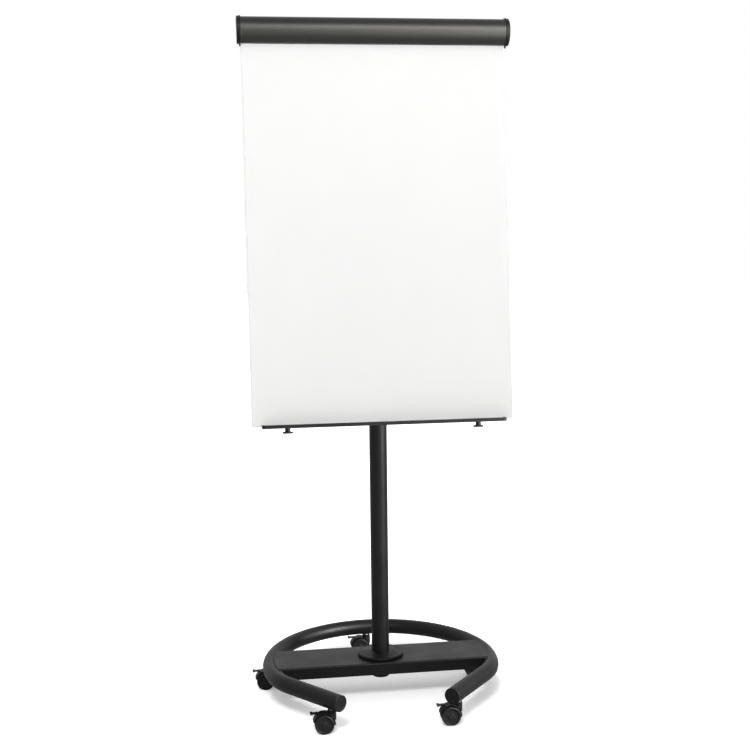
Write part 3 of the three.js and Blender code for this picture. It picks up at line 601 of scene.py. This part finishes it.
# ------------------------------------------------------------------ post

flange = lathe([
    (24.3, 104.6, 0.4), (62, 104.6, 0.6), (63, 106.5, 1.0), (63, 111.4, 1.4), (59, 113.6, 1.5),
    (52, 113.2, 3), (30, 116.6, 2), (27.4, 117.1, 0.8), (24.3, 117.1, 0.3),
], 112, ring=True)
piece("foot_cover", flange, POST, "base", ["post_flange"], "black_plastic")
POST_FOOT, POST_TOP = 48, 1000
outer_post = lathe(sleeve(24, 22, POST_FOOT, POST_TOP), 96, True)
piece("lower_tube", outer_post, POST, "base", ["outer_post"], "black_powder_coat")
PLUG_TOP = POST_FOOT - 0.1
foot_plug = lathe([
    (0, PLUG_TOP - 2.5), (22.5, PLUG_TOP - 2.5, 1.2), (23.5, PLUG_TOP - 1.5, 0.4), (23.5, PLUG_TOP),
    (21.4, PLUG_TOP), (21.4, PLUG_TOP + 14, 1), (0, PLUG_TOP + 14),
], 64)
piece("foot_plug", foot_plug, POST, "base", ["post_bottom_cap"], "black_plastic")
inner_post = lathe(sleeve(20, 18, 715, 1232), 96, True)
piece("upper_tube", inner_post, POST, "inner_post", ["inner_post"], "black_powder_coat")
keep("guide_bush", "black_plastic")

COLLAR_LOW, COLLAR_HIGH, KNOB_Z = 982, 1034, 1017
collar = lathe([
    (0, COLLAR_LOW), (29, COLLAR_LOW, 0.8), (32, COLLAR_LOW + 4, 1.5), (32, COLLAR_LOW + 10, 0.3),
    (31.3, COLLAR_LOW + 10.6, 0.2), (31.3, COLLAR_LOW + 12.4, 0.2), (32, COLLAR_LOW + 13, 0.3),
    (32, COLLAR_HIGH - 12, 3), (26, COLLAR_HIGH, 1.2), (0, COLLAR_HIGH),
], 96)
boss = shifted(lathe_y([(0, 0), (11, 0), (11, 40, 1.0), (0, 40)], 48), 0, 0, KNOB_Z)
collar = combined(collar, boss, how="UNION")
collar = combined(
    collar,
    lathe(rod(24.3, COLLAR_LOW - 5, 1000.3, 0), 64),
    lathe(rod(20.3, COLLAR_LOW - 5, COLLAR_HIGH + 5, 0), 64),
    shifted(lathe_y(rod(4.3, 0, 45, 0), 24), 0, 0, KNOB_Z),
)
piece("collar", collar, POST, "base", ["height_collar"], "black_plastic")

lobed = [
    ((18.5 + 1.8 * math.cos(6 * t)) * math.cos(t), (18.5 + 1.8 * math.cos(6 * t)) * math.sin(t))
    for t in (2 * math.pi * i / 96 for i in range(96))
]
knob = together(
    prism([lobed], 45.5, 59.5, "y", 2.0, 5),
    lathe_y([(0, 40.5), (10, 40.5, 0.6), (10, 47), (0, 47)], 40),
    lathe_y([(0, 58.5), (9, 58.5), (9, 59.9, 0.5), (0, 60.3)], 40),
    lathe_y(rod(4, 20.3, 43.5, 0.8), 24),
)
piece("post_knob", shifted(knob, 0, 0, KNOB_Z), POST, "height_knob", ["height_knob"], "black_plastic")

TILT = 1281
tongue = [(-18, 1242), (18, 1242)] + arc(0, TILT, 18, 0, 180, 28)
head = together(
    lathe([
        (0, 1200), (16.4, 1200, 0.8), (17.6, 1201.5, 0.4), (17.6, 1232.1), (21, 1232.1, 0.3),
        (22, 1233.4, 0.5), (22, 1246, 1.6), (20, 1250, 1.2), (0, 1250),
    ], 72),
    prism([tongue, circle(0, TILT, 6.6, 32, hole=True)], -15, 15, "x", 0.8),
)
piece("swivel_block", head, POST, "turning_head", ["swivel_head"], "black_powder_coat")

# ------------------------------------------------------------------ tilt hinge

FRONT, BACK = -61.5, -45.5
PLATE = BACK + 0.3
ear_outline = [(PLATE + 1, -40)] + arc(0, 0, 18, -62, 62, 28) + [(PLATE + 1, 40)]
ears = [
    prism([ear_outline, circle(0, 0, 6.3, 32, hole=True)], x, x + 3.5, "x", 0.6) for x in (-20, 16.5)
]
beads = [weld([(x, PLATE + 3.4, -38), (x, PLATE + 3.4, 38)], 1.6) for x in (-20.4, 20.4)]
plate = prism([rectangle(-80, 80, -110, 110, 12, 8)], PLATE, PLATE + 3, "y", 0.5)
piece("tilt_bracket", together(plate, *ears, *beads), BOARD, "board", ["board_bracket"], "black_powder_coat")

screw_head = combined(
    lathe_y([(0, 0), (5.4, 0), (5.4, 0.8, 0.3), (3.6, 2.7, 1.0), (0, 3.0)], 32),
    prism([circle(0, 0, 2.3, 6)], 1.2, 4, "y", 0),
)
screws = [shifted(screw_head, x, PLATE + 3.02, z) for x in (-66, 66) for z in (-94, 0, 94)]
piece("bracket_screws", together(*screws), BOARD, "board", [], "zinc_steel")

hexagon = circle(0, 0, 10.5, 6)
shaft = together(
    prism([hexagon], -28, -20.9, "x", 1.0, 3),
    lathe_x([(0, -21.1), (9.2, -21.1, 0.2), (9.2, -20.3, 0.2), (0, -20.3)], 40),
    lathe_x([(0, -20.5), (6, -20.5), (6, 34, 0.8), (0, 34)], 40),
)
piece("tilt_bolt", shaft, BOARD, "board", ["tilt_shaft"], "zinc_steel")

hub = lathe_x([
    (6.3, 20.5, 0.3), (10, 20.5, 0.6), (12, 23, 1.2), (12, 37, 2.2), (9, 40, 1.5), (0, 40),
    (0, 35), (6.3, 35),
], 56, ring=True)
arm = lathe([
    (0, -74), (4.5, -74, 2.0), (6.7, -69, 3.5), (6.2, -60, 4), (4.2, -8), (4.2, -6.5), (0, -6.5),
], 40)
arm = turned(shifted(arm, 32, 0, 0), Matrix.Rotation(math.radians(18), 4, "X"))
piece("clamping_lever", together(hub, arm), BOARD, "tilt_lever", ["tilt_lever"], "black_plastic")

for side, name in ((-1, "left"), (1, "right")):
    disc = lathe_x([(6.5, 15.3, 0.2), (17, 15.3, 0.25), (17, 16.2, 0.25), (6.5, 16.2, 0.2)], 56, ring=True)
    disc = turned(disc, Matrix.Scale(side, 4, (1, 0, 0)))
    piece(f"friction_disc_{name}", disc, BOARD, "turning_head", [f"tilt_washer_{name}"], "grip_rubber")

# ------------------------------------------------------------------ board

HALF_W, HALF_H = 345.0, 520.0
KNOB_X = 252.0
STUD_Y = (FRONT + BACK) / 2
stud_holes = [shifted(lathe(rod(3.6, -528, -495, 0), 24), x, STUD_Y, 0) for x in (-KNOB_X, KNOB_X)]

SHEET = 0.6
SHEET_W, SHEET_H = HALF_W - 2.3, HALF_H - 2.3
FACE_TOP = 468
front_sheet = block(-SHEET_W, SHEET_W, FRONT, FRONT + SHEET, -SHEET_H, FACE_TOP, 0.12)
piece("writing_sheet", front_sheet, BOARD, "board", ["board_face"], "white_enamel")
rear_sheet = block(-SHEET_W, SHEET_W, BACK - SHEET, BACK, -SHEET_H, SHEET_H, 0.12)
piece("rear_sheet", rear_sheet, BOARD, "board", ["board_back"], "zinc_steel")
keep("board_core", "board_core")
trim = prism(
    [
        rectangle(-HALF_W, HALF_W, -HALF_H, HALF_H, 1.5, 4),
        rectangle(-HALF_W + 2, HALF_W - 2, -HALF_H + 2, HALF_H - 2, hole=True),
    ],
    FRONT, BACK, "y", 0.5,
)
piece("edge_strip", combined(trim, *stud_holes), BOARD, "board", ["board_edge_trim"], "pale_trim")

# ------------------------------------------------------------------ pad clamp

RAIL_LOW, RAIL_HIGH = 465.0, 533.0
COVER_FRONT = FRONT - 40
WIDEST_Z = RAIL_HIGH - 33
LIP_Y, LIP_END = FRONT - 16, FRONT - 5.5
WALL = 2.2
HINGE = (-58.0, 525.0)
DROP = WIDEST_Z - RAIL_LOW
LOWER_ARC = ((LIP_Y - COVER_FRONT) ** 2 + DROP ** 2) / (2 * (LIP_Y - COVER_FRONT))
UPPER = (COVER_FRONT + 33, WIDEST_Z)
LOWER = (COVER_FRONT + LOWER_ARC, WIDEST_Z)


def lower_turn(radius, drop):
    return 180 + math.degrees(math.asin(drop / radius))


cover = (
    [(LIP_END, RAIL_LOW), (LIP_END, RAIL_LOW + WALL)]
    + arc(*LOWER, LOWER_ARC - WALL, lower_turn(LOWER_ARC - WALL, DROP - WALL), 180, 16)
    + arc(*UPPER, 33 - WALL, 180, 90, 24)[1:]
    + [(HINGE[0] - 2, RAIL_HIGH - WALL), (HINGE[0] - 2, RAIL_HIGH)]
    + arc(*UPPER, 33, 90, 180, 28)
    + arc(*LOWER, LOWER_ARC, 180, lower_turn(LOWER_ARC, DROP), 20)[1:]
)
shell = prism([cover[::-1]], -HALF_W, HALF_W, "x", 0.3, 2)
piece("cover_profile", shell, BOARD, "clamp_cover", ["clamp_cover"], "anodised_rail")


def cap_outline(margin, nub):
    low = RAIL_LOW - margin
    radius = LOWER_ARC + margin
    outline = [(LIP_END - nub, low - nub), (LIP_END, low - nub)] if nub else [(LIP_END, low)]
    outline += arc(*HINGE, RAIL_HIGH + margin - HINGE[1], 0, 90, 12)
    outline += arc(*UPPER, 33 + margin, 90, 180, 28)
    outline += arc(*LOWER, radius, 180, lower_turn(radius, WIDEST_Z - low), 20)[1:]
    return outline + ([(LIP_END - nub, low)] if nub else [])


pin_hole = lathe_x(rod(3.1, HALF_W - 4, HALF_W + 7.8, 0), 32)
pin_hole = shifted(pin_hole, 0, *HINGE)
end_cap = combined(
    prism([cap_outline(2.5, 5)], HALF_W + 0.3, HALF_W + 4.8, "x", 0.6, 3),
    prism([cap_outline(1.6, 0)], HALF_W + 2.0, HALF_W + 10.8, "x", 2.2, 6),
    how="UNION",
)
hinge_pin = lathe_x([(0, 315), (1.9, 315), (2.5, 316), (2.5, 350.5), (1.9, 351.5), (0, 351.5)], 24)
hinge_pin = shifted(hinge_pin, 0, *HINGE)
for side, name in ((-1, "left"), (1, "right")):
    shape = turned(combined(end_cap, pin_hole), Matrix.Scale(side, 4, (1, 0, 0)))
    piece(f"cover_end_{name}", shape, BOARD, "clamp_cover", [f"clamp_cap_{name}"], "black_plastic")
    pin = turned(hinge_pin, Matrix.Scale(side, 4, (1, 0, 0)))
    piece(f"hinge_pin_{name}", pin, BOARD, "board", [f"clamp_pin_{name}"], "zinc_steel")

RAIL_FACE = FRONT - 0.3
RAIL_PLATE = RAIL_FACE - 2.5
TRACK = (478.0, 502.0)
TOP = HALF_H + 0.3
channel = [
    (RAIL_FACE, TRACK[0] - 8), (RAIL_FACE, TOP), (PLATE, TOP), (PLATE, TOP - 26), (PLATE + 3, TOP - 26),
    (PLATE + 3, TOP + 3), (RAIL_PLATE, TOP + 3), (RAIL_PLATE, TRACK[0] - 8),
]


def track_lip(edge, inward):
    outer = RAIL_PLATE - 6.5
    points = [
        (RAIL_PLATE + 1, edge), (outer, edge), (outer, edge + 5 * inward),
        (RAIL_PLATE - 4, edge + 5 * inward), (RAIL_PLATE - 4, edge + 2.5 * inward),
        (RAIL_PLATE + 1, edge + 2.5 * inward),
    ]
    return points if inward < 0 else points[::-1]


port = shifted(lathe_x(sleeve(4.4, 2.8, -HALF_W, HALF_W, 0.2), 32, True), 0, *HINGE)
back_rail = together(
    prism([channel], -HALF_W, HALF_W, "x", 0.3, 2),
    prism([track_lip(TRACK[0], 1)], -HALF_W, HALF_W, "x", 0.3, 2),
    prism([track_lip(TRACK[1], -1)], -HALF_W, HALF_W, "x", 0.3, 2),
)
back_rail = combined(back_rail, shifted(lathe_x(rod(3.6, -HALF_W - 5, HALF_W + 5, 0), 32), 0, *HINGE))
piece("fixed_rail", together(back_rail, port), BOARD, "board", ["clamp_back_rail"], "anodised_rail")

ribs = [
    block(-340, 340, LIP_END + 0.3, FRONT - 3.4, RAIL_LOW + rise, RAIL_LOW + rise + 0.9, 0.2)
    for rise in (0.5, 1.6, 2.7, 3.7)
]
strip = together(block(-340, 340, LIP_END + 0.7, FRONT - 3, RAIL_LOW + 0.3, RAIL_LOW + 4.5, 0.3), *ribs)
piece("grip_strip", strip, BOARD, "clamp_cover", ["clamp_grip_strip"], "grip_rubber")

track_z = sum(TRACK) / 2
lip_front = RAIL_PLATE - 6.5
HOOK_X = 228
peg = lathe_y([(0, lip_front - 17), (3, lip_front - 17, 1.2), (3, lip_front - 3), (0, lip_front - 3)], 32)
hook = together(
    block(-16, 16, RAIL_PLATE - 3.6, RAIL_PLATE - 0.4, track_z - 9, track_z + 9, 0.4, 1.5),
    block(-12, 12, lip_front - 1, RAIL_PLATE - 3, track_z - 6, track_z + 6, 0.3, 0.8),
    block(-14, 14, lip_front - 4, lip_front - 0.4, track_z - 11, track_z + 11, 0.7, 4),
    shifted(peg, 0, 0, track_z),
)
for side, name in ((-1, "left"), (1, "right")):
    own_hook = shifted(hook, side * HOOK_X, 0, 0)
    piece(f"paper_hook_{name}", own_hook, BOARD, f"hook_{name}", [f"pad_hook_{name}"], "black_plastic")

# ------------------------------------------------------------------ pen tray

TRAY_HALF, TRAY_LOW = 319.0, -523.0
TRAY_FRONT, TRAY_REAR = FRONT - 42, BACK - 1


def tray_plan(margin):
    radius = 8 - margin
    rear = TRAY_REAR + 4 * margin
    return (
        [(TRAY_HALF - margin, rear), (-TRAY_HALF + margin, rear)]
        + arc(-TRAY_HALF + 8, TRAY_FRONT + 8, radius, 180, 270, 8)
        + arc(TRAY_HALF - 8, TRAY_FRONT + 8, radius, 270, 360, 8)
    )


tray = combined(
    prism([tray_plan(0)], TRAY_LOW, TRAY_LOW + 9.5, "z", 0),
    prism([tray_plan(2.5)], TRAY_LOW + 2.5, TRAY_LOW + 15, "z", 0),
    prism([rectangle(-330, 330, FRONT - 2.5, TRAY_REAR + 5)], TRAY_LOW + 2.5, TRAY_LOW + 15, "z", 0),
    *stud_holes,
)
piece("tray", tray, BOARD, "board", ["pen_tray"], "black_powder_coat", bevel=0.5)

ribbed = [
    ((14 - 0.35 * (1 + math.cos(24 * t))) * math.cos(t), (14 - 0.35 * (1 + math.cos(24 * t))) * math.sin(t))
    for t in (2 * math.pi * i / 192 for i in range(192))
]
thumb = together(
    prism([ribbed], -538.6, -534.1, "z", 0.9, 4),
    lathe([(0, -535), (8.6, -535), (8.6, -533.4, 0.4), (7, -532.2, 0.8), (7, -523.1, 0.3), (0, -523.1)], 48),
    lathe([(0, -524), (3, -524), (3, -497.1, 0.6), (0, -497.1)], 32),
)
for side, name in ((-1, "left"), (1, "right")):
    piece(
        f"thumb_screw_{name}", shifted(thumb, side * KNOB_X, STUD_Y, 0), BOARD, f"tray_knob_{name}",
        [f"tray_knob_{name}"], "black_plastic",
    )

# ------------------------------------------------------------------ casters

AXLE = (-20.0, 25.0)


def hood_sector(inner, outer, start, end, steps=36):
    return arc(*AXLE, outer, start, end, steps) + arc(*AXLE, inner, end, start, steps)


def at_axle(solid):
    return shifted(solid, AXLE[0], 0, AXLE[1])


stem = lathe([
    (0, 49.5), (5.5, 49.5, 0.5), (5.5, 59.5), (8, 59.5, 0.2), (8, 60.7, 0.2), (5.5, 60.7),
    (5.5, 92, 0.6), (0, 92),
], 40)
wheel_room = [at_axle(lathe_y(rod(26.4, y0, y1, 0), 64)) for y0, y1 in ((3.4, 19), (-19, -3.4))]
boss = combined(
    lathe([(0, 34), (11.5, 34), (11.5, 58.2, 0.8), (10.2, 59.2, 0.4), (0, 59.2)], 56),
    *wheel_room,
)
stem_hole = lathe(rod(5.8, 49, 64, 0), 32)
housing = together(
    combined(prism([hood_sector(26.4, 29, -8, 168)], -13, 13, "y", 0.7, 3), stem_hole),
    combined(prism([hood_sector(4, 27.4, -8, 168)], -3.4, 3.4, "y", 0.4, 2), stem_hole),
    combined(boss, stem_hole),
    at_axle(lathe_y(rod(8, -3.4, 3.4, 0.3), 40)),
    at_axle(lathe_y(rod(3, -16, 16, 0.5), 24)),
    at_axle(prism([arc(0, 0, 29.2, 20, 60, 10) + arc(0, 0, 28.6, 60, 20, 10)], -9, 9, "y", 0.2, 2)),
)
spoke = block(-1.1, 1.1, 15.4, 17.2, 8, 19.4, 0.3)
spokes = [turned(spoke, Matrix.Rotation(math.radians(60 * i), 4, "Y")) for i in range(6)]
wheel = together(
    lathe_y([
        (3.4, 4, 0.3), (25, 4, 1.2), (25, 10.4, 0.3), (24.6, 10.9, 0.2), (24.6, 11.7, 0.2),
        (25, 12.2, 0.3), (25, 17.4, 1.6), (23, 19, 1.2), (20.4, 19, 0.8), (19.2, 16, 0.8),
        (8.6, 16, 0.6), (8.2, 16.6), (3.4, 16.6),
    ], 72, ring=True),
    lathe_y([(0, 16.62), (8.3, 16.62), (8.3, 17.8, 0.5), (5, 18.3, 1.0), (0, 18.3)], 48),
    *spokes,
)
pedal_outline = [
    (-37, -5), (-37, 5), (-50, 5), (-50.5, 9), (-55.5, 9), (-55.5, -9), (-50.5, -9), (-50, -5),
]
pedal_outline = softened([(x, y, 1.0) for x, y in pedal_outline], True, 4)
pedal = together(
    prism([pedal_outline[::-1]], 50.8, 53.2, "z", 0.5, 3),
    shifted(lathe_y(rod(2.2, -8, 8, 0.5), 28), -38, 0, 51.4),
    *[block(x, x + 1.1, -7.5, 7.5, 53.0, 53.7, 0.25) for x in (-54.8, -53.2)],
)
for caster in CASTERS:
    place = caster_frame(caster)
    own = f"caster_{caster}"
    piece(f"{own}_pin", stem, place, "base", [f"{own}_stem"], "zinc_steel")
    piece(f"{own}_hood", housing, place, own, [f"{own}_housing"], "black_plastic")
    for sense, half in ((-1, "front"), (1, "back")):
        shape = wheel if sense > 0 else turned(wheel, Matrix.Scale(-1, 4, (0, 1, 0)))
        piece(
            f"{own}_roller_{half}", at_axle(shape), place, f"wheel_{caster}_{half}", [f"{own}_wheel_{half}"],
            "wheel_plastic",
        )
    piece(f"{own}_pedal", pedal, place, f"brake_{caster}", [f"{own}_brake"], "black_plastic")

# ------------------------------------------------------------------ floor, light and camera

FLOOR = 20.0
floor_mesh = bpy.data.meshes.new("floor")
floor_corners = [(x * FLOOR, y * FLOOR, 0) for x, y in ((-1, -1), (1, -1), (1, 1), (-1, 1))]
floor_mesh.from_pydata(floor_corners, [], [[0, 1, 2, 3]])
floor = bpy.data.objects.new("floor", floor_mesh)
bpy.context.scene.collection.objects.link(floor)
# The camera sees a floor whose paint glows, faintly everywhere and strongly towards the back. This is painted
# light:
# it lifts the shadows round the base to a pale grey and washes out the board's shadow behind the easel. The
# light that bounces on to the easel comes off a plain grey.
floor_paint = finish("floor_paint", grey(0.85), 0.7, specular=0.1, grain=60, bump=0.05, mottle=0.005)
floor_tree = floor_paint.node_tree
floor_place = add(floor_tree, "ShaderNodeTexCoord").outputs["Object"]
far_back = add(floor_tree, "ShaderNodeSeparateXYZ", {"Vector": floor_place}).outputs["Y"]
# Painted light: the glow lifts the floor's shadows and, rising towards the back, hides the board's shadow
# there.
painted_floor_light = remap(floor_tree, far_back, 0.34, 0.6, 0.25, 0.9)
floor_shader = floor_tree.nodes["Principled BSDF"]
floor_shader.inputs["Emission Color"].default_value = (1, 1, 1, 1)
floor_tree.links.new(painted_floor_light, floor_shader.inputs["Emission Strength"])
floor_bounce = add(floor_tree, "ShaderNodeBsdfDiffuse", {"Color": grey(0.55)}).outputs[0]
floor_rays = add(floor_tree, "ShaderNodeLightPath").outputs["Is Camera Ray"]
floor_mix = add(
    floor_tree, "ShaderNodeMixShader", {0: floor_rays, 1: floor_bounce, 2: floor_shader.outputs[0]}
)
floor_tree.links.new(floor_mix.outputs[0], floor_tree.nodes["Material Output"].inputs["Surface"])
floor_mesh.materials.append(floor_paint)

BASE_NAMES = ("ring_", "cross_bar", "bar_weld", "foot_", "lower_tube", "upper_tube", "collar", "caster_")
STANDING = bpy.data.collections.new("standing")
for shape in bpy.context.scene.objects:
    if shape.name.startswith(BASE_NAMES):
        STANDING.objects.link(shape)


def area_light(name, place, target, width, height, power, diffuse=True, glossy=True):
    """A soft rectangular light; its shadows come only from what stands on the floor, so the board and its
    rail stay evenly bright."""
    data = bpy.data.lights.new(name, "AREA")
    data.shape = "RECTANGLE"
    data.size, data.size_y = width, height
    data.energy = power
    light = bpy.data.objects.new(name, data)
    light.location = place
    light.rotation_euler = (Vector(target) - Vector(place)).to_track_quat("-Z", "Y").to_euler()
    light.visible_diffuse = diffuse
    light.visible_glossy = glossy
    light.light_linking.blocker_collection = STANDING
    bpy.context.scene.collection.objects.link(light)
    return light


area_light("key", (-2.0, -6.9, 8.1), (0, 0, 0.4), 2.3, 2.3, 800, glossy=False)
area_light("sheen", (1.6, -6.6, 5.0), (0, 0, 1.4), 3.0, 2.6, 620, diffuse=False)
side_light = area_light("side", (2.4, -1.9, 1.6), (0, 0, 0.7), 0.4, 1.6, 480, diffuse=False)

# Seen from behind, the top of the bar and its foot cover would mirror the side light and look pale.
without_side = bpy.data.collections.new("without_side")
for name in ("cross_bar", "foot_cover"):
    without_side.objects.link(bpy.data.objects[name])
for entry in without_side.collection_objects:
    entry.light_linking.link_state = "EXCLUDE"
side_light.light_linking.receiver_collection = without_side

world = bpy.data.worlds.new("studio")
bpy.context.scene.world = world
world.use_nodes = True
sky = world.node_tree
sky.nodes.clear()
rays = add(sky, "ShaderNodeLightPath")
towards = add(sky, "ShaderNodeTexCoord").outputs["Generated"]
depth = add(sky, "ShaderNodeSeparateXYZ", {"Vector": towards}).outputs["Y"]
tone = remap(sky, depth, -0.2, 0.6, 0.6, 1.15)
seen = add(sky, "ShaderNodeBackground", {"Color": (1, 1, 1, 1), "Strength": 1.0})
lit = add(sky, "ShaderNodeBackground", {"Color": (1, 1, 1, 1), "Strength": tone})
mixed = add(
    sky, "ShaderNodeMixShader", {0: rays.outputs["Is Camera Ray"], 1: lit.outputs[0], 2: seen.outputs[0]}
)
add(sky, "ShaderNodeOutputWorld", {"Surface": mixed.outputs[0]})

YAW, PITCH, ROLL = math.radians(8.0127), math.radians(7.0083), math.radians(-0.6793)
ahead = Vector((math.sin(YAW) * math.cos(PITCH), math.cos(YAW) * math.cos(PITCH), -math.sin(PITCH)))
right = Vector((math.cos(YAW), -math.sin(YAW), 0))
up = right.cross(ahead)
rolled_right = right * math.cos(ROLL) + up * math.sin(ROLL)
rolled_up = up * math.cos(ROLL) - right * math.sin(ROLL)
camera_data = bpy.data.cameras.new("camera")
camera_data.sensor_width = 36
camera_data.lens = 58.96
camera = bpy.data.objects.new("camera", camera_data)
pose = Matrix((rolled_right, rolled_up, -ahead)).transposed().to_4x4()
camera.matrix_world = Matrix.Translation((-0.46425, -3.26802, 1.28782)) @ pose
bpy.context.scene.collection.objects.link(camera)
bpy.context.scene.camera = camera
bpy.context.scene.view_settings.view_transform = "Standard"
